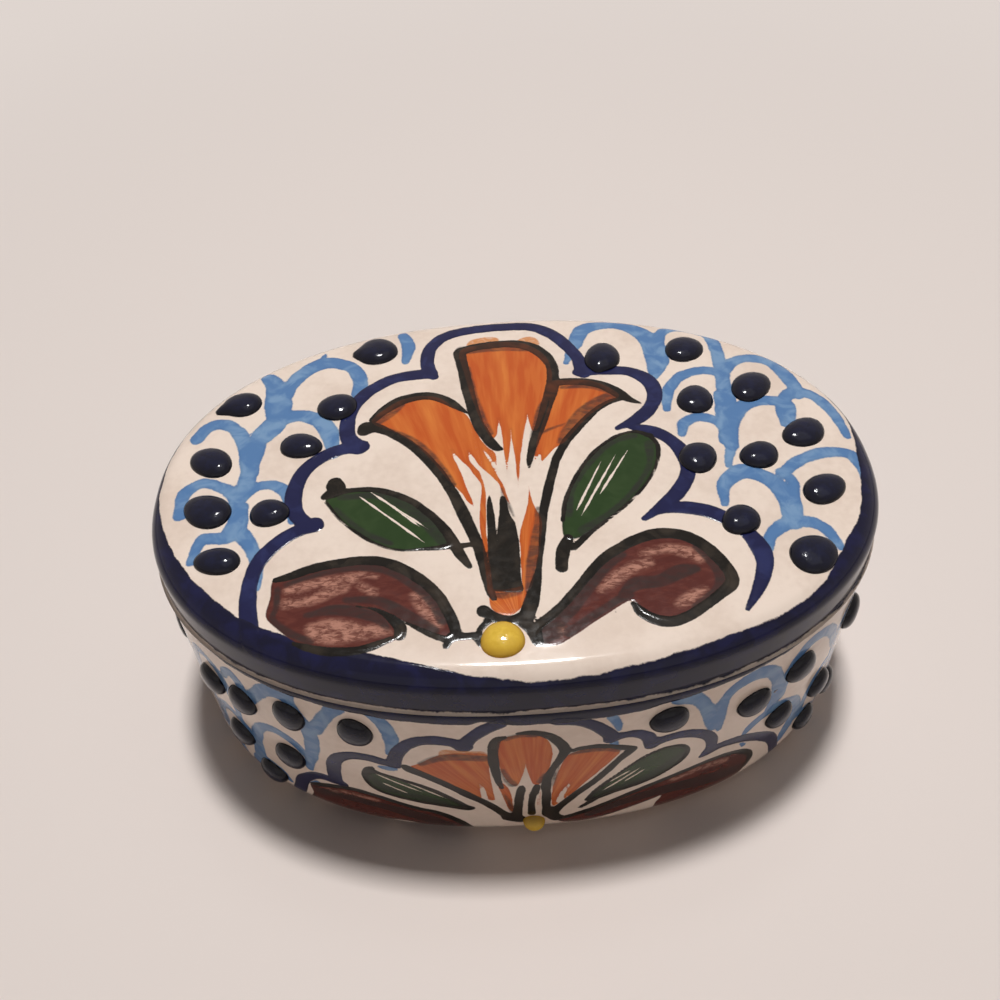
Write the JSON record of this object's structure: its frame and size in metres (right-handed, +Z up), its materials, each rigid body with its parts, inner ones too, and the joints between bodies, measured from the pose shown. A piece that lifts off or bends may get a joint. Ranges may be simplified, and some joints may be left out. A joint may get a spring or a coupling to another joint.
{
  "type": "trinket box",
  "caption": "Oval hand-painted earthenware trinket box with a lift-off lid seated by an inner flange, scalloped flower panels and raised glaze drops.",
  "frame": {"origin": "middle of the foot's underside, on the surface that the box stands on", "axes": "+X along the box's length, -Y the front with the yellow drop of the lid near it, +Z up"},
  "size_m": [0.1042, 0.0732, 0.0442],
  "materials": {
    "bowl_glaze": "gloss",
    "lid_glaze": "gloss",
    "navy_drop": "gloss",
    "yellow_drop": "gloss"
  },
  "bodies": {
    "bowl": {"bowl": "bowl_glaze", "bowl_front_drop_01": "navy_drop", "bowl_front_drop_02": "navy_drop", "bowl_front_drop_03": "navy_drop", "bowl_front_drop_04": "navy_drop", "bowl_front_drop_05": "navy_drop", "bowl_front_drop_06": "navy_drop", "bowl_front_drop_07": "navy_drop", "bowl_front_drop_08": "navy_drop", "bowl_front_drop_09": "navy_drop", "bowl_front_drop_10": "navy_drop", "bowl_front_drop_11": "navy_drop", "bowl_front_drop_12": "navy_drop", "bowl_front_drop_13": "navy_drop", "bowl_front_drop_14": "navy_drop", "bowl_front_drop_15": "navy_drop", "bowl_front_drop_16": "navy_drop", "bowl_front_drop_17": "navy_drop", "bowl_front_drop_18": "navy_drop", "bowl_front_drop_yellow": "yellow_drop", "bowl_back_drop_01": "navy_drop", "bowl_back_drop_02": "navy_drop", "bowl_back_drop_03": "navy_drop", "bowl_back_drop_04": "navy_drop", "bowl_back_drop_05": "navy_drop", "bowl_back_drop_06": "navy_drop", "bowl_back_drop_07": "navy_drop", "bowl_back_drop_08": "navy_drop", "bowl_back_drop_09": "navy_drop", "bowl_back_drop_10": "navy_drop", "bowl_back_drop_11": "navy_drop", "bowl_back_drop_12": "navy_drop", "bowl_back_drop_13": "navy_drop", "bowl_back_drop_14": "navy_drop", "bowl_back_drop_15": "navy_drop", "bowl_back_drop_16": "navy_drop", "bowl_back_drop_17": "navy_drop", "bowl_back_drop_18": "navy_drop", "bowl_back_drop_yellow": "yellow_drop"},
    "lid": {"lid": "lid_glaze", "lid_drop_01": "navy_drop", "lid_drop_02": "navy_drop", "lid_drop_03": "navy_drop", "lid_drop_04": "navy_drop", "lid_drop_05": "navy_drop", "lid_drop_06": "navy_drop", "lid_drop_07": "navy_drop", "lid_drop_08": "navy_drop", "lid_drop_09": "navy_drop", "lid_drop_10": "navy_drop", "lid_drop_11": "navy_drop", "lid_drop_12": "navy_drop", "lid_drop_13": "navy_drop", "lid_drop_14": "navy_drop", "lid_drop_15": "navy_drop", "lid_drop_16": "navy_drop", "lid_drop_17": "navy_drop", "lid_drop_18": "navy_drop", "lid_drop_yellow": "yellow_drop"}
  },
  "joints": [
    {"name": "lid_lift", "type": "slide", "parent": "bowl", "child": "lid", "axis": [0, 0, 1], "range_m": [0, 0.06]}
  ]
}
